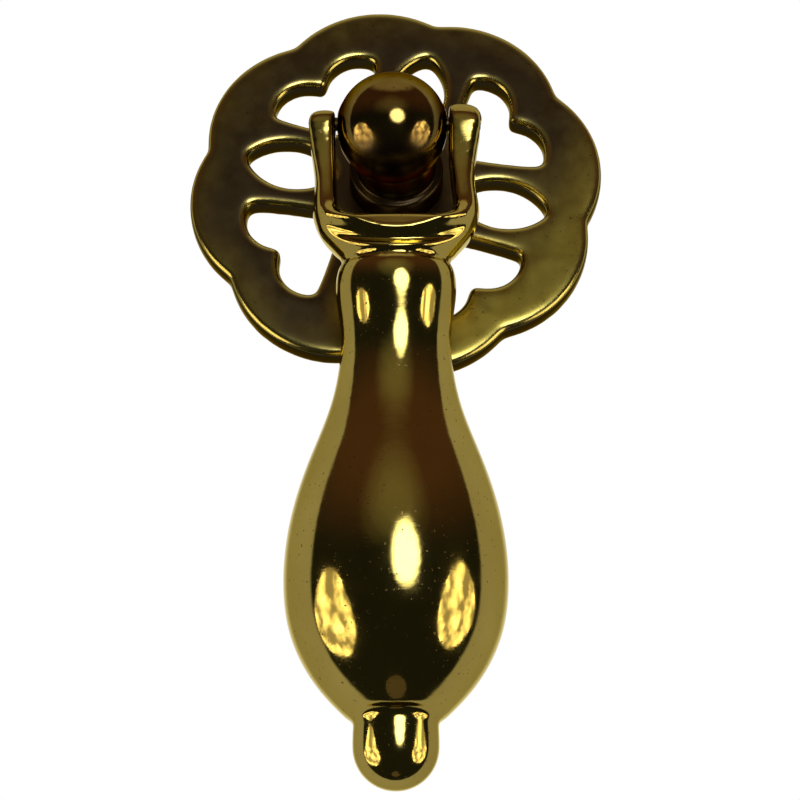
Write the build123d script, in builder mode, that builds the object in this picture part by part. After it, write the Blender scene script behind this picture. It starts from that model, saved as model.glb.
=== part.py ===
import os
from math import cos, radians, sin, sqrt

from build123d import *

# Drop pull for a drawer, in millimetres.
# X runs to the right, Z up, and the front faces -Y.
# The origin is the centre of the backplate's back face, where the pull meets the drawer.

# Backplate: a cast rosette with eight lobes, four almond and four heart piercings
LOBES = 8
CUSP_RADIUS = 17.75
LOBE_RADIUS = 19.0
PLATE_THICKNESS = 2.4
PLATE_TURN = 12.2  # clockwise from the front: the plate was fixed a little off upright
PLATE_EDGE = 0.5
SPIGOT_HOLE_RADIUS = 3.0

# Almond piercing, along its own radius
ALMOND_INNER = 5.6
ALMOND_OUTER = 14.1
ALMOND_HALF_WIDTH = 2.35
ALMOND_TIP = 0.6

# Heart piercing: its point faces the hub and its notch faces the rim
HEART_POINT = 6.0
HEART_NOTCH = 11.9
HEART_SIDE = (9.3, 3.2)
HEART_CORNER = (12.2, 5.5)
HEART_LOBE_TOP = (13.8, 3.2)
HEART_CORNER_ROUND = 0.5
HEART_POINT_ROUND = 0.6
HEART_NOTCH_ROUND = 0.6

# Post: a ball on a short neck, with a collar that holds the plate to the drawer
BALL_RADIUS = 4.74
BALL_OUT = 12.45
NECK_RADIUS = 3.6
COLLAR_RADIUS = 4.25
COLLAR_FRONT = 5.4
COLLAR_EDGE = 0.3
SPIGOT_RADIUS = 2.9
TAPPED_RADIUS = 1.65
TAPPED_DEPTH = 6.5

# Hinge pin, across the fork and through the ball's centre
PIN_OUT = 12.45
PIN_RADIUS = 0.6
PIN_CLEARANCE = 0.08
PIN_HALF_LENGTH = 7.35
PIN_DOME = 0.2

# Drop: heights are below the pin's axis, radii are about the drop's own long axis
DROP_LEAN = 15.0  # its neck lies back against the plate's lower rim, as loose pulls do
FORK_RADIUS = 7.5
PRONG_EYE = 1.8
LEFT_PRONG_TOP = 1.15
SLOT_HALF_WIDTH = 5.05
SLOT_FLOOR = 9.0
SLOT_CORNER = 1.4
FORK_EDGE = 0.2
RIM_ROUND = 0.5
# Front of the fork from the side: (out from the long axis, height)
FLARE = [(1.85, 1.5), (2.05, 3.5), (2.6, 6.0), (3.5, 8.3), (4.9, 9.45), (6.3, 10.35), (8.2, 11.4)]
CUP = [(7.1, 3.4), (7.0, 6.0), (7.22, 8.3), (6.95, 9.3), (6.13, 10.75), (5.48, 11.45)]
LIP = (5.0, 12.0)
GROOVE = (4.6, 12.4)
SHOULDER = (4.88, 12.8)
PEAR = [
    (5.2, 14.7),
    (4.98, 16.8),
    (4.72, 19.2),
    (4.83, 21.2),
    (5.61, 25.0),
    (7.14, 29.0),
    (8.52, 33.0),
    (9.32, 37.0),
    (9.45, 41.0),
    (8.99, 44.0),
    (7.75, 47.0),
    (5.96, 49.5),
    (3.93, 51.5),
]
PEAR_END = (2.4, 52.8)
FINIAL_RADIUS = 3.62
FINIAL_CENTRE = 53.65
FINIAL_TOP = 49.5
FINIAL_FORWARD = 1.1  # the finial was set a little forward of the long axis

FRONT = Plane.XZ
PLATE_FRONT = Plane.XZ.rotated((0, PLATE_TURN, 0))
DROP_FRONT = Plane((0, -PIN_OUT, 0), x_dir=(1, 0, 0), z_dir=(0, -1, 0))
DROP_SIDE = Plane((0, -PIN_OUT, 0), x_dir=(0, -1, 0), z_dir=(-1, 0, 0))
PIN_AXIS = Plane((0, -PIN_OUT, 0), x_dir=(0, 1, 0), z_dir=(1, 0, 0))


def polar(radius, degrees):
    """Point at a radius and an angle in the sketch plane."""
    return (radius * cos(radians(degrees)), radius * sin(radians(degrees)))


def rosette_outline():
    """Eight shallow lobes that meet in cusps on the plate's quarter and half-quarter lines."""
    step = 360 / LOBES
    with BuildLine() as outline:
        for lobe in range(LOBES):
            start = lobe * step
            ThreePointArc(
                polar(CUSP_RADIUS, start),
                polar(LOBE_RADIUS, start + step / 2),
                polar(CUSP_RADIUS, start + step),
            )
    return outline


def almond_outline():
    """A pointed oval along the plate's radius, from two equal arcs."""
    middle = (ALMOND_INNER + ALMOND_OUTER) / 2
    with BuildSketch(mode=Mode.PRIVATE) as almond:
        with BuildLine():
            ThreePointArc((ALMOND_INNER, 0), (middle, ALMOND_HALF_WIDTH), (ALMOND_OUTER, 0))
            ThreePointArc((ALMOND_OUTER, 0), (middle, -ALMOND_HALF_WIDTH), (ALMOND_INNER, 0))
        make_face()
        fillet(almond.vertices(), ALMOND_TIP)
    return almond.sketch


def heart_outline():
    """A heart along the plate's radius, with its notch outwards."""
    with BuildSketch(mode=Mode.PRIVATE) as heart:
        with BuildLine():
            for side in (1, -1):
                ThreePointArc(
                    (HEART_POINT, 0),
                    (HEART_SIDE[0], side * HEART_SIDE[1]),
                    (HEART_CORNER[0], side * HEART_CORNER[1]),
                )
                ThreePointArc(
                    (HEART_CORNER[0], side * HEART_CORNER[1]),
                    (HEART_LOBE_TOP[0], side * HEART_LOBE_TOP[1]),
                    (HEART_NOTCH, 0),
                )
        make_face()
        fillet(heart.vertices().filter_by(lambda v: abs(v.Y) > 1), HEART_CORNER_ROUND)
        fillet(heart.vertices().filter_by(lambda v: abs(v.Y) < 0.1).sort_by(Axis.X)[0], HEART_POINT_ROUND)
        fillet(heart.vertices().filter_by(lambda v: abs(v.Y) < 0.1).sort_by(Axis.X)[-1], HEART_NOTCH_ROUND)
    return heart.sketch


# Backplate
almond = almond_outline()
heart = heart_outline()
with BuildPart() as backplate:
    with BuildSketch(PLATE_FRONT):
        with BuildLine():
            add(rosette_outline().line)
        make_face()
        with PolarLocations(0, 4):
            add(almond, mode=Mode.SUBTRACT)
        with PolarLocations(0, 4, start_angle=45):
            add(heart, mode=Mode.SUBTRACT)
    extrude(amount=PLATE_THICKNESS)
    fillet(backplate.faces().sort_by(Axis.Y)[0].edges(), PLATE_EDGE)
    with Locations(FRONT):
        Hole(SPIGOT_HOLE_RADIUS)
backplate.part.label = "backplate"

# Post
ball_to_neck = BALL_OUT - sqrt(BALL_RADIUS**2 - NECK_RADIUS**2)
with BuildPart() as post:
    with BuildSketch(Plane.XY):
        with BuildLine():
            Polyline(
                (0, -BALL_OUT - BALL_RADIUS),
                (0, 0),
                (SPIGOT_RADIUS, 0),
                (SPIGOT_RADIUS, -PLATE_THICKNESS),
                (COLLAR_RADIUS, -PLATE_THICKNESS),
                (COLLAR_RADIUS, -COLLAR_FRONT),
                (NECK_RADIUS, -COLLAR_FRONT),
                (NECK_RADIUS, -ball_to_neck),
            )
            ThreePointArc(
                (NECK_RADIUS, -ball_to_neck),
                (BALL_RADIUS, -BALL_OUT),
                (0, -BALL_OUT - BALL_RADIUS),
            )
        make_face()
    revolve(axis=Axis.Y)
    collar_rim = post.edges().filter_by(GeomType.CIRCLE).filter_by(
        lambda e: abs(e.radius - COLLAR_RADIUS) < 0.01 and e.center().Y < -COLLAR_FRONT + 0.1
    )
    fillet(collar_rim, COLLAR_EDGE)
    with BuildSketch(PIN_AXIS):
        Circle(PIN_RADIUS + PIN_CLEARANCE)
    extrude(amount=2 * BALL_RADIUS, both=True, mode=Mode.SUBTRACT)
    with BuildSketch(FRONT):
        Circle(TAPPED_RADIUS)
    extrude(amount=TAPPED_DEPTH, mode=Mode.SUBTRACT)
post.part.label = "post"

# Hinge pin, with ends domed over by riveting
with BuildPart() as hinge_pin:
    with BuildSketch(Plane((0, -PIN_OUT, 0), x_dir=(1, 0, 0), z_dir=(0, 0, 1))):
        with BuildLine():
            Line((-PIN_HALF_LENGTH, 0), (PIN_HALF_LENGTH, 0))
            Spline(
                (PIN_HALF_LENGTH, 0),
                (PIN_HALF_LENGTH - PIN_DOME, PIN_RADIUS),
                tangents=((0, 1), (-1, 0)),
            )
            Line((PIN_HALF_LENGTH - PIN_DOME, PIN_RADIUS), (PIN_DOME - PIN_HALF_LENGTH, PIN_RADIUS))
            Spline(
                (PIN_DOME - PIN_HALF_LENGTH, PIN_RADIUS),
                (-PIN_HALF_LENGTH, 0),
                tangents=((-1, 0), (0, -1)),
            )
        make_face()
    revolve(axis=Axis((0, -PIN_OUT, 0), (1, 0, 0)))
hinge_pin.part.label = "hinge_pin"


def fork_side():
    """Side view of the drop: a round eye about the pin that flares out into the cup."""
    wide, low = 2 * FORK_RADIUS, -2 * FINIAL_CENTRE
    flare = [(PRONG_EYE, 0)] + [(q, -down) for q, down in FLARE]
    with BuildLine() as outline:
        ThreePointArc((PRONG_EYE, 0), (0, PRONG_EYE), (-PRONG_EYE, 0))
        for side in (1, -1):
            Spline(*[(side * q, height) for q, height in flare])
            end = flare[-1]
            Polyline((side * end[0], end[1]), (side * wide, end[1]), (side * wide, low))
        Line((-wide, low), (wide, low))
    return outline


with BuildPart() as fork_block:
    with BuildSketch(DROP_SIDE):
        with BuildLine():
            add(fork_side().line)
        make_face()
    extrude(amount=2 * FORK_RADIUS, both=True)
    with Locations((0, -PIN_OUT, LEFT_PRONG_TOP)):
        Box(
            2 * FORK_RADIUS,
            2 * FORK_RADIUS,
            2 * FORK_RADIUS,
            align=(Align.MAX, Align.CENTER, Align.MIN),
            mode=Mode.SUBTRACT,
        )

# Drop: turned outline from the finial to the cup, then the fork is cut into the cup
with BuildPart() as drop:
    with BuildSketch(DROP_FRONT):
        with BuildLine():
            rim = 2 * PRONG_EYE
            Polyline((0, -PEAR_END[1]), (0, rim), (FORK_RADIUS, rim), (FORK_RADIUS, 0))
            cup = [(FORK_RADIUS, 0)] + [(r, -down) for r, down in CUP] + [(LIP[0], -LIP[1])]
            Spline(*cup)
            ThreePointArc(
                (LIP[0], -LIP[1]),
                (GROOVE[0], -GROOVE[1]),
                (SHOULDER[0], -SHOULDER[1]),
            )
            pear = [SHOULDER] + PEAR + [PEAR_END]
            Spline(*[(r, -down) for r, down in pear])
            Line((PEAR_END[0], -PEAR_END[1]), (0, -PEAR_END[1]))
        make_face()
    revolve(axis=Axis((0, -PIN_OUT, 0), (0, 0, 1)))
    add(fork_block.part, mode=Mode.INTERSECT)
    with Locations((0, -PIN_OUT - FINIAL_FORWARD, -FINIAL_CENTRE)):
        Cylinder(FINIAL_RADIUS, FINIAL_CENTRE - FINIAL_TOP, align=(Align.CENTER, Align.CENTER, Align.MIN))
        Sphere(FINIAL_RADIUS)
    with BuildSketch(DROP_FRONT) as slot:
        with Locations((0, -SLOT_FLOOR)):
            Rectangle(2 * SLOT_HALF_WIDTH, 4 * SLOT_FLOOR, align=(Align.CENTER, Align.MIN))
        fillet(slot.vertices().group_by(Axis.Y)[0], SLOT_CORNER)
    extrude(amount=2 * FORK_RADIUS, both=True, mode=Mode.SUBTRACT)
    slot_rim = drop.edges().filter_by(GeomType.BSPLINE).filter_by(
        lambda e: abs(e.center().Z + SLOT_FLOOR) < 0.01
    )
    fillet(slot_rim, RIM_ROUND)
    with BuildSketch(PIN_AXIS):
        Circle(PIN_RADIUS)
    extrude(amount=2 * FORK_RADIUS, both=True, mode=Mode.SUBTRACT)
    lip_and_shoulder = drop.edges().filter_by(GeomType.CIRCLE).filter_by(
        lambda e: e.length > 5 * LIP[0] and LIP[1] - 0.5 < -e.center().Z < SHOULDER[1] + 0.5
    )
    fillet(lip_and_shoulder, FORK_EDGE)
leaning_drop = drop.part.rotate(Axis((0, -PIN_OUT, 0), (1, 0, 0)), DROP_LEAN)
leaning_drop.label = "drop"

os.makedirs("parts", exist_ok=True)
export_step(backplate.part, "parts/backplate.step")
export_step(post.part, "parts/post.step")
export_step(hinge_pin.part, "parts/hinge_pin.step")
export_step(leaning_drop, "parts/drop.step")
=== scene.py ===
from math import cos, pi, radians, sin, sqrt

import bmesh
import bpy
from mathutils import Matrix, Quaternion, Vector


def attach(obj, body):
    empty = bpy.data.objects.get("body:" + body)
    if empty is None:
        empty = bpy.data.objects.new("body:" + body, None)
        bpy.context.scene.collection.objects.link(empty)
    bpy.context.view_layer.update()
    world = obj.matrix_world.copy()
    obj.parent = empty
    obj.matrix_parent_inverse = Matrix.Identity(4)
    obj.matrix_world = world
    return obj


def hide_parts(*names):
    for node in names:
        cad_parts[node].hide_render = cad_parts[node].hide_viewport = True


# A pierced round backplate with a ball-headed post, and a polished pear drop hinged below it.
# The frame is the model's own: metres, X right, Z up, the front faces -Y.
# Lengths below are in metres and angles in degrees, unless a comment says otherwise.

CAMERA_PLACE = (0.000335, -0.17656, -0.10208)
CAMERA_TILT = 114.74
CAMERA_LENS = 99.0  # millimetres

FLOOR_HEIGHT = -1.6
FLOOR_RADIUS = 0.25
LAMPS_AIM = (0.0, -0.01, -0.035)
LAMPS_AWAY = 0.5
WARM = (1.0, 0.85, 0.6)
YELLOW_GREEN = (0.95, 1.0, 0.6)

# The drop leans back on the plate's lower rim. The pin runs along X through the ball's middle.
DROP_LEAN = 15.0
PIN_PLACE = -0.01245
PIN_MIDDLE = Vector((0.0, PIN_PLACE, 0.0))
DROP_UP = Vector((0.0, -sin(radians(DROP_LEAN)), cos(radians(DROP_LEAN))))
DROP_FRONT = Vector((0.0, -cos(radians(DROP_LEAN)), -sin(radians(DROP_LEAN))))

# Even meshes: the size of a cell, and how often the edges are buffed.
PLATE_CELL = 0.00018
PLATE_BUFFING = 30
DROP_CELL = 0.000197
DROP_BUFFING = 6
POST_CELL = 0.00012
POST_BUFFING = 6
FORK_BOTTOM = -0.0125  # along the drop from the pin; above it the drop is buffed twice

# Prongs: spans of height above the pin, and spans across from the middle.
TOPS_FILED = (-0.002, 0.001)
CORNER_ACROSS = (0.0063, 0.0075)
CORNER_DEPTH = 0.0009
LEFT_TOP_LOWER = 0.0002
PINCH_HEIGHTS = (-0.0075, -0.003)
PRONG_INWARDS = (0.0076, 0.0058)
RIGHT_PINCH = 0.0005
LEFT_SPREAD = 0.0002

# The fork's front and back, in millimetres: down from the pin, and out from the drop's long axis.
# The band's slope is for each millimetre down. The hollow lies between the ridge, where its share
# is 0, and the lip, where it is 1, and its slopes are for the whole share.
FILED_FROM = 8.0
RIDGE_DOWN = 10.4
RIDGE_CURVE = 0.06
RIDGE_OUT = 4.9
BAND_SLOPE = 0.45
LIP_DOWN = 11.9
HOLLOW_SLOPE = 1.3
LIP_FOOT_SHARE = 0.62
LIP_FOOT_OUT = 4.1
LIP_SLOPE = 2.5
HOLLOW_CURVE = 0.042
CURVE_BELOW_RIDGE = 0.4
CURVE_ABOVE_LIP = 0.15

# Finial: where it begins and where it narrows, in millimetres down from the pin.
FINIAL_FROM = 49.6
FINIAL_TAPER = (53.6, 50.0)
FINIAL_NARROWER = 0.07  # a share of its radius
FINIAL_FORWARD = 0.0011  # in front of the drop's long axis
FINIAL_REACH = 0.0042  # nothing further than this from its axis is part of it

# Ball: the span in Y where it leaves its neck, and the span around the pin where its hole ends.
BALL_FROM_NECK = (-0.0065, -0.009)
HOLE_SURROUND = (0.0009, 0.0021)
BALL_FULLER = 0.025  # a share of its radius
BALL_LEFT = 0.00034
BALL_LOWER = 0.00032

JOIN_WITHIN = 0.000002
PIN_SHARP_EDGE = 32.0

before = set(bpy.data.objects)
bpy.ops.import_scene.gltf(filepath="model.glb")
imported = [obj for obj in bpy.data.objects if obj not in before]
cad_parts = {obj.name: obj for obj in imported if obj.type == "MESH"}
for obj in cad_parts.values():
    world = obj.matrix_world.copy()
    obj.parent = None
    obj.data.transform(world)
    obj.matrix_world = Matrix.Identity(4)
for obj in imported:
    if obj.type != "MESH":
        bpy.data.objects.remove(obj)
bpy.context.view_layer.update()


def camera():
    data = bpy.data.cameras.new("camera")
    data.lens = CAMERA_LENS
    data.sensor_width = 36.0
    data.clip_start = 0.01
    view = bpy.data.objects.new("camera", data)
    view.location = CAMERA_PLACE
    view.rotation_euler = (radians(CAMERA_TILT), 0.0, 0.0)
    bpy.context.scene.collection.objects.link(view)
    bpy.context.scene.camera = view


class Nodes:
    """A node tree, built one node at a time; coordinates are an output of its first node."""

    def __init__(self, tree, kind, output):
        self.tree = tree
        self.coordinates = tree.nodes.new(kind).outputs[output]

    def add(self, kind, **inputs):
        node = self.tree.nodes.new(kind)
        for name, value in inputs.items():
            self.set(node.inputs[name.replace("_", " ")], value)
        return node

    def set(self, socket, value):
        if isinstance(value, bpy.types.NodeSocket):
            self.tree.links.new(value, socket)
        else:
            socket.default_value = value

    def noise(self, scale, detail=4.0, roughness=0.55, vector=None):
        node = self.add("ShaderNodeTexNoise", Scale=scale, Detail=detail, Roughness=roughness)
        self.set(node.inputs["Vector"], vector or self.coordinates)
        return node.outputs["Fac"]

    def stretched(self, scale):
        node = self.add("ShaderNodeMapping", Vector=self.coordinates)
        node.inputs["Scale"].default_value = scale
        return node.outputs["Vector"]

    def height(self, axis):
        node = self.add("ShaderNodeSeparateXYZ", Vector=self.coordinates)
        return node.outputs[axis]

    def vector_math(self, operation, value, vector=None):
        node = self.tree.nodes.new("ShaderNodeVectorMath")
        node.operation = operation
        self.set(node.inputs[0], vector or self.coordinates)
        node.inputs[1].default_value = value
        return node.outputs["Value"]

    def distance(self, place, vector=None):
        return self.vector_math("DISTANCE", place, vector)

    def math(self, operation, first, second=None, clamp=False):
        node = self.tree.nodes.new("ShaderNodeMath")
        node.operation = operation
        node.use_clamp = clamp
        self.set(node.inputs[0], first)
        if second is not None:
            self.set(node.inputs[1], second)
        return node.outputs[0]

    def sum(self, first, second):
        """The sum of two shares, held between 0 and 1."""
        return self.math("ADD", first, second, clamp=True)

    def ramp(self, value, low, high, start=0.0, end=1.0, smooth=False):
        node = self.add("ShaderNodeMapRange", Value=value)
        if smooth:
            node.interpolation_type = "SMOOTHSTEP"
        node.inputs["From Min"].default_value = low
        node.inputs["From Max"].default_value = high
        node.inputs["To Min"].default_value = start
        node.inputs["To Max"].default_value = end
        return node.outputs["Result"]

    def mixed(self, factor, first, second, kind="FLOAT"):
        node = self.tree.nodes.new("ShaderNodeMix")
        node.data_type = kind
        self.set(node.inputs["Factor"], factor)
        self.set(node.inputs["A"], first)
        self.set(node.inputs["B"], second)
        return node.outputs["Result"]

    def blend(self, factor, first, second):
        return self.mixed(factor, first, second, kind="RGBA")


class Surface(Nodes):
    """A material with one Principled shader, in the coordinates of its piece."""

    def __init__(self, name):
        self.material = bpy.data.materials.new(name)
        self.material.use_nodes = True
        super().__init__(self.material.node_tree, "ShaderNodeTexCoord", "Object")
        self.shader = self.tree.nodes["Principled BSDF"]

    def shade(self, **inputs):
        for name, value in inputs.items():
            self.set(self.shader.inputs[name.replace("_", " ")], value)

    def flatness(self):
        """1 where the surface faces straight forwards or backwards, 0 where it runs through the plate."""
        facing = self.tree.nodes.new("ShaderNodeTexCoord").outputs["Normal"]
        node = self.add("ShaderNodeSeparateXYZ", Vector=facing)
        return self.math("ABSOLUTE", node.outputs["Y"])

    def bump(self, height, distance, strength, normal=None):
        node = self.add("ShaderNodeBump", Height=height, Strength=strength, Distance=distance)
        if normal is not None:
            self.set(node.inputs["Normal"], normal)
        return node.outputs["Normal"]


def colour(red, green, blue):
    return (red, green, blue, 1.0)


WHITE = colour(1.0, 1.0, 1.0)


def plate_material():
    """Tarnished brown with bright worn edges; painted light makes it olive towards the lower right and
    the rim, which is also worn, and painted shade darkens the walls of the openings and the rim.
    """
    n = Surface("plate_brass")
    cloud = n.ramp(n.noise(130.0, 5.0), 0.35, 0.68, -0.15, 0.15)
    # Painted light: lighter towards the lower right, where the lamps fall on the plate, and darker
    # towards the left.
    painted_light_lower_right = n.ramp(n.distance((-0.07, 0.0, 0.07)), 0.107, 0.115)
    # Lighter towards the rim: partly worn by handling, partly a painted reflection of the lamps on the
    # rounded-over rim.
    rim = n.ramp(n.distance((0.0, 0.0, 0.0)), 0.015, 0.0188, 0.0, 0.28)
    # Random tone, rim wear and painted light together set how light the brass is.
    tone_wear_and_painted_light = n.sum(n.sum(painted_light_lower_right, rim), cloud)
    base = n.blend(tone_wear_and_painted_light, colour(0.13, 0.1, 0.055), colour(0.56, 0.47, 0.09))
    specks = n.ramp(n.noise(2600.0, 2.0), 0.68, 0.74)
    base = n.blend(specks, base, colour(0.12, 0.08, 0.04))
    flatness = n.flatness()
    edge = n.ramp(flatness, 0.995, 0.93)
    # Painted shade: the walls of the openings and of the rim are painted near black.
    painted_wall_shade = n.ramp(flatness, 0.6, 0.3)
    base = n.blend(edge, base, colour(0.72, 0.6, 0.17))
    base = n.blend(painted_wall_shade, base, colour(0.045, 0.034, 0.018))
    rough = n.ramp(n.noise(700.0, 4.0), 0.3, 0.7, 0.27, 0.38)
    brushed = n.noise(900.0, 3.0, vector=n.stretched((1.0, 1.0, 0.12)))
    n.shade(
        Base_Color=base,
        Metallic=1.0,
        Specular_Tint=colour(0.7, 0.55, 0.25),
        Roughness=n.mixed(edge, rough, 0.2),
        Normal=n.bump(brushed, 0.00003, 0.4),
    )
    return n.material


def post_material():
    """Polished bronze brown, with painted shade at the ball's sides, below the ball and on the neck,
    which are also rougher.
    """
    n = Surface("post_bronze")
    cloud = n.ramp(n.noise(260.0, 4.0), 0.35, 0.65)
    base = n.blend(cloud, colour(0.3, 0.19, 0.055), colour(0.42, 0.3, 0.085))
    pits = n.ramp(n.noise(2200.0, 2.0), 0.66, 0.72)
    base = n.blend(pits, base, colour(0.12, 0.08, 0.04))
    # Painted shade: the ball is painted darker towards its left and right sides.
    across = n.distance((-0.00035, 0.0, 0.0), n.stretched((1.0, 0.0, 0.0)))
    sides = n.ramp(across, 0.0033, 0.0042)
    base = n.blend(sides, base, colour(0.1, 0.07, 0.032))
    # Painted shade: darker and rougher on the neck and on the ball's underside.
    neck = n.ramp(n.height("Y"), -0.0095, -0.0075)
    underside = n.ramp(n.height("Z"), -0.0026, -0.0042)
    painted_shade_neck_and_underside = n.sum(neck, underside)
    base = n.blend(painted_shade_neck_and_underside, base, colour(0.06, 0.042, 0.022))
    polish = n.ramp(cloud, 0.0, 1.0, 0.06, 0.12)
    n.shade(
        Base_Color=base,
        Metallic=1.0,
        Specular_Tint=colour(0.4, 0.3, 0.16),
        Roughness=n.mixed(painted_shade_neck_and_underside, polish, 0.3),
        Normal=n.bump(n.noise(1500.0, 2.0), 0.00002, 0.3),
    )
    return n.material


def drop_material():
    """Polished yellow brass with small pits, slight waves and fine scratches around it."""
    n = Surface("drop_brass")
    cloud = n.ramp(n.noise(150.0, 4.0), 0.35, 0.7)
    base = n.blend(cloud, colour(0.62, 0.48, 0.12), colour(0.7, 0.56, 0.15))
    pits = n.ramp(n.noise(3000.0, 2.0), 0.67, 0.72)
    base = n.blend(pits, base, colour(0.25, 0.16, 0.06))
    rough = n.ramp(n.noise(500.0, 3.0), 0.3, 0.7, 0.05, 0.11)
    scratches = n.noise(1400.0, 3.0, vector=n.stretched((0.15, 0.15, 1.0)))
    waves = n.bump(n.noise(220.0, 2.0), 0.00008, 0.3)
    n.shade(
        Base_Color=base,
        Metallic=1.0,
        Specular_Tint=colour(0.85, 0.78, 0.5),
        Roughness=n.mixed(pits, rough, 0.35),
        Normal=n.bump(scratches, 0.00001, 0.5, waves),
    )
    return n.material


def pin_material():
    """Dull dark brass."""
    n = Surface("pin_brass")
    cloud = n.ramp(n.noise(900.0), 0.35, 0.65)
    base = n.blend(cloud, colour(0.1, 0.07, 0.03), colour(0.16, 0.12, 0.05))
    n.shade(Base_Color=base, Metallic=1.0, Roughness=0.4)
    return n.material


MATERIALS = {
    "backplate": plate_material(),
    "post": post_material(),
    "drop": drop_material(),
    "hinge_pin": pin_material(),
}


def joined_copy(node):
    """A copy of a part's mesh with its vertices joined; the part itself stays as it is."""
    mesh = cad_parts[node].data.copy()
    mesh.name = node + "_casting"
    work = bmesh.new()
    work.from_mesh(mesh)
    bmesh.ops.remove_doubles(work, verts=work.verts, dist=JOIN_WITHIN)
    work.to_mesh(mesh)
    work.free()
    return mesh


def even_skin(mesh, cell):
    """The same solid with an even fine mesh, so that its edges can be rounded and it reflects cleanly."""
    blank = bpy.data.objects.new("blank", mesh)
    bpy.context.scene.collection.objects.link(blank)
    skin = blank.modifiers.new("skin", "REMESH")
    skin.mode = "VOXEL"
    skin.voxel_size = cell
    view = bpy.context.evaluated_depsgraph_get()
    fine = bpy.data.meshes.new_from_object(blank.evaluated_get(view))
    bpy.data.objects.remove(blank)
    return fine


def buff(mesh, passes, where=None):
    """Rounds edges a little, as filing and buffing do, everywhere or only where a place passes."""
    work = bmesh.new()
    work.from_mesh(mesh)
    chosen = [v for v in work.verts if where is None or where(v.co)]
    for _ in range(passes):
        bmesh.ops.smooth_vert(
            work, verts=chosen, factor=0.5, use_axis_x=True, use_axis_y=True, use_axis_z=True
        )
    work.to_mesh(mesh)
    work.free()


def share_of(value, start, end):
    """How far a value is on its way from start to end, from 0 to 1."""
    return min(1.0, max(0.0, (value - start) / (end - start)))


def along_drop(place):
    """How far a point lies above the pin along the drop's leaning axis."""
    lean = radians(DROP_LEAN)
    return place.z * cos(lean) - (place.y - PIN_PLACE) * sin(lean)


def file_prong_tops(mesh):
    """Rounds the outer corners of the two prong tops; the left one was filed lower."""
    for vertex in mesh.vertices:
        share = share_of(along_drop(vertex.co), *TOPS_FILED)
        reach = share_of(abs(vertex.co.x), *CORNER_ACROSS)
        lower = CORNER_DEPTH * (1.0 - sqrt(1.0 - reach * reach))
        if vertex.co.x < 0.0:
            lower += LEFT_TOP_LOWER
        vertex.co -= DROP_UP * lower * share


def pinch_prongs(mesh):
    """The right prong's inside is pinched in towards the ball; the left prong leans out a little."""
    for vertex in mesh.vertices:
        share = share_of(along_drop(vertex.co), *PINCH_HEIGHTS)
        if vertex.co.x > 0.0:
            vertex.co.x -= RIGHT_PINCH * share * share_of(vertex.co.x, *PRONG_INWARDS)
        else:
            vertex.co.x -= LEFT_SPREAD * share


def fork_face_limit(across, down):
    """How far the fork stands out, in millimetres: a band with a curved ridge, and a hollow below it."""
    ridge = RIDGE_DOWN - RIDGE_CURVE * across**2
    if down < ridge:
        return RIDGE_OUT - BAND_SLOPE * (ridge - down)
    share = (down - ridge) / (LIP_DOWN - ridge)
    if share < LIP_FOOT_SHARE:
        limit = RIDGE_OUT - HOLLOW_SLOPE * share
    else:
        limit = LIP_FOOT_OUT + LIP_SLOPE * (share - LIP_FOOT_SHARE)
    curved = min(1.0, share / CURVE_BELOW_RIDGE, (1.0 - share) / CURVE_ABOVE_LIP)
    return limit - HOLLOW_CURVE * across**2 * curved


def file_fork_faces(mesh):
    """Below the slot the cup is filed back, front and back alike, to a raised U-shaped band.

    Between the band and the lip it is hollow, and the hollow is rounded from side to side.
    """
    for vertex in mesh.vertices:
        place = vertex.co
        down = -along_drop(place) * 1000.0
        if not FILED_FROM < down < LIP_DOWN:
            continue
        out = (DROP_FRONT.y * (place.y - PIN_PLACE) + DROP_FRONT.z * place.z) * 1000.0
        limit = fork_face_limit(place.x * 1000.0, down)
        if abs(out) > limit:
            vertex.co -= DROP_FRONT * (abs(out) - limit) / 1000.0 * (1.0 if out > 0.0 else -1.0)


def taper_finial(mesh):
    """The finial narrows a little towards its crease."""
    middle = PIN_MIDDLE + FINIAL_FORWARD * DROP_FRONT
    for vertex in mesh.vertices:
        down = -along_drop(vertex.co) * 1000.0
        if down < FINIAL_FROM:
            continue
        offset = vertex.co - middle
        radial = offset - DROP_UP * offset.dot(DROP_UP)
        if radial.length > FINIAL_REACH:
            continue
        rise = share_of(down, *FINIAL_TAPER)
        vertex.co -= radial * FINIAL_NARROWER * rise * rise


def settle_ball(mesh):
    """The ball is a touch fuller than its drawing, and sits a little low and to the left on its neck.

    The hole for the pin stays around the pin.
    """
    for vertex in mesh.vertices:
        from_pin = sqrt((vertex.co.y - PIN_PLACE) ** 2 + vertex.co.z**2)
        clear_of_pin = share_of(from_pin, *HOLE_SURROUND)
        share = share_of(vertex.co.y, *BALL_FROM_NECK)
        vertex.co += (vertex.co - PIN_MIDDLE) * BALL_FULLER * share
        vertex.co.x -= BALL_LEFT * share
        vertex.co.z -= BALL_LOWER * share * clear_of_pin


def show(mesh, node, body):
    """Puts a finished mesh in the scene in place of a part."""
    mesh.materials.clear()
    mesh.materials.append(MATERIALS[node])
    mesh.shade_smooth()
    piece = bpy.data.objects.new(node + "_casting", mesh)
    bpy.context.scene.collection.objects.link(piece)
    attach(piece, body)
    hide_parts(node)


def backplate():
    mesh = even_skin(joined_copy("backplate"), PLATE_CELL)
    buff(mesh, PLATE_BUFFING)
    show(mesh, "backplate", "base")


def drop():
    mesh = even_skin(joined_copy("drop"), DROP_CELL)
    file_prong_tops(mesh)
    pinch_prongs(mesh)
    file_fork_faces(mesh)
    taper_finial(mesh)
    buff(mesh, DROP_BUFFING)
    buff(mesh, DROP_BUFFING, lambda place: along_drop(place) > FORK_BOTTOM)
    show(mesh, "drop", "drop")


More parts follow.
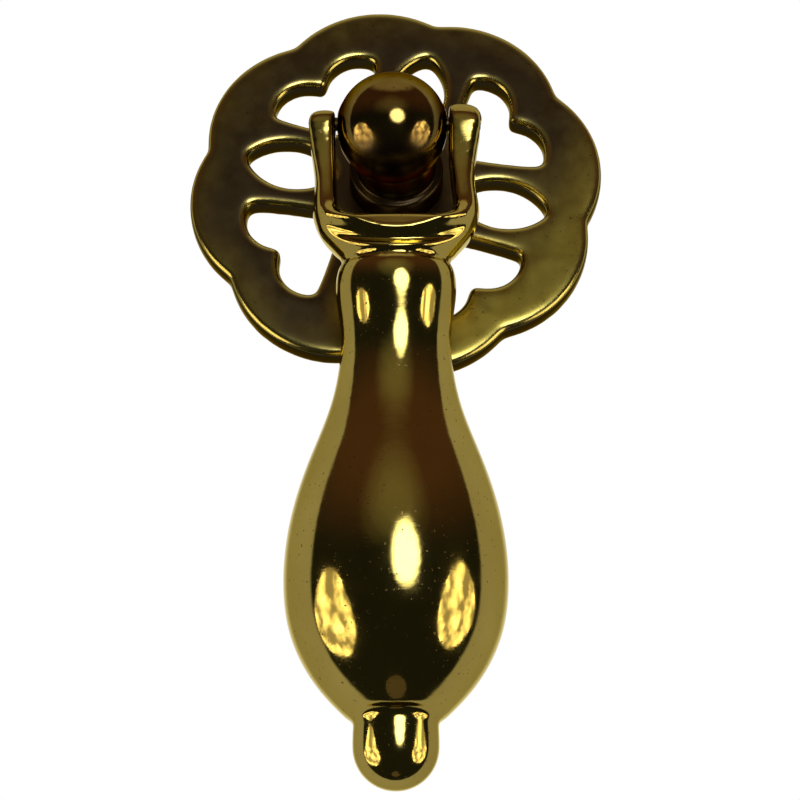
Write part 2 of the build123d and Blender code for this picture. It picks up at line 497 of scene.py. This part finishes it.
def post():
    mesh = even_skin(joined_copy("post"), POST_CELL)
    settle_ball(mesh)
    buff(mesh, POST_BUFFING)
    show(mesh, "post", "base")


def hinge_pin():
    mesh = joined_copy("hinge_pin")
    show(mesh, "hinge_pin", "drop")
    mesh.set_sharp_from_angle(angle=radians(PIN_SHARP_EDGE))


def area_light(name, azimuth, elevation, size, radiance, tint=(1.0, 1.0, 1.0), turn=0.0):
    """A soft oval lamp away from the pull and facing it; azimuth 0 is straight in front."""
    data = bpy.data.lights.new(name, "AREA")
    data.shape = "ELLIPSE"
    data.size = size[0]
    data.size_y = size[1]
    data.color = tint
    data.energy = radiance * pi * size[0] * size[1] * pi / 4.0
    lamp = bpy.data.objects.new(name, data)
    side = radians(azimuth)
    rise = radians(elevation)
    direction = Vector((sin(side) * cos(rise), -cos(side) * cos(rise), sin(rise)))
    lamp.location = Vector(LAMPS_AIM) + direction * LAMPS_AWAY
    facing = (-direction).to_track_quat("-Z", "Y")
    lamp.rotation_euler = (facing @ Quaternion((0.0, 0.0, 1.0), radians(turn))).to_euler()
    lamp.visible_camera = False
    bpy.context.scene.collection.objects.link(lamp)
    return lamp


def lamp_face(lamp):
    lamp.data.use_nodes = True
    return Nodes(lamp.data.node_tree, "ShaderNodeNewGeometry", "Parametric")


def faded(lamp, core):
    """Lets a lamp's face fade from its core towards its rim."""
    n = lamp_face(lamp)
    strength = n.ramp(n.distance((0.5, 0.5, 0.0)), 0.5, core, smooth=True)
    n.set(n.tree.nodes["Emission"].inputs["Strength"], strength)


def dappled(lamp, scale, low, high):
    """Breaks a lamp's face into patches, like a window seen through leaves."""
    n = lamp_face(lamp)
    strength = n.ramp(n.noise(scale, detail=3.0, roughness=0.5), low, high, start=0.12)
    n.set(n.tree.nodes["Emission"].inputs["Strength"], strength)


def lamps():
    """A window in front, a faint sky above it, and two warm windows low at the sides."""
    window = area_light("window", azimuth=10.0, elevation=-3.0, size=(0.3, 0.31), radiance=4.5, turn=25.0)
    faded(window, core=0.3)
    sky = area_light("sky", -2.0, 20.0, size=(0.8, 0.46), radiance=0.11, tint=YELLOW_GREEN)
    faded(sky, core=0.05)
    left = area_light("left_window", -76.0, -23.0, size=(0.42, 0.45), radiance=4.0, tint=WARM)
    dappled(left, scale=4.0, low=0.42, high=0.66)
    right = area_light("right_window", 72.0, -20.0, size=(0.38, 0.42), radiance=4.0, tint=WARM)
    dappled(right, scale=4.0, low=0.42, high=0.66)


def room():
    """A pale tabletop behind the pull, white straight behind it, and a dim brown room in front."""
    world = bpy.data.worlds.new("room")
    bpy.context.scene.world = world
    world.use_nodes = True
    world.node_tree.nodes.clear()
    n = Nodes(world.node_tree, "ShaderNodeTexCoord", "Generated")

    def toward(direction, low, high):
        return n.ramp(n.vector_math("DOT_PRODUCT", direction), low, high, smooth=True)

    behind = tuple(-DROP_FRONT)
    upward = tuple(DROP_UP)
    dim = n.blend(toward(upward, 0.2, 0.7), colour(0.014, 0.014, 0.012), colour(0.075, 0.036, 0.024))
    dim = n.blend(toward(upward, 0.86, 0.95), dim, colour(0.36, 0.31, 0.22))
    table = n.blend(toward(behind, 0.8, 1.0), colour(0.38, 0.36, 0.32), WHITE)
    surround = n.blend(toward(behind, 0.07, 0.14), dim, table)
    path = n.tree.nodes.new("ShaderNodeLightPath")
    mirrored = n.math("MAXIMUM", path.outputs["Is Glossy Ray"], path.outputs["Is Transmission Ray"])
    seen = n.blend(mirrored, dim, surround)
    seen = n.blend(path.outputs["Is Camera Ray"], seen, WHITE)
    background = n.add("ShaderNodeBackground", Color=seen)
    n.add("ShaderNodeOutputWorld", Surface=background.outputs[0])


def floor():
    """A pale round floor well below the pull, as under a drawer front."""
    mesh = bpy.data.meshes.new("floor")
    work = bmesh.new()
    bmesh.ops.create_circle(work, cap_ends=True, segments=64, radius=FLOOR_RADIUS)
    work.to_mesh(mesh)
    work.free()
    ground = bpy.data.objects.new("floor", mesh)
    ground.location = (0.0, 0.0, FLOOR_HEIGHT)
    bpy.context.scene.collection.objects.link(ground)
    n = Surface("floor")
    path = n.tree.nodes.new("ShaderNodeLightPath")
    n.shade(
        Base_Color=colour(0.8, 0.8, 0.8),
        Roughness=0.9,
        Emission_Color=WHITE,
        Emission_Strength=path.outputs["Is Camera Ray"],
    )
    mesh.materials.append(n.material)


camera()
backplate()
drop()
post()
hinge_pin()
lamps()
room()
floor()

scene = bpy.context.scene
scene.view_settings.view_transform = "Standard"
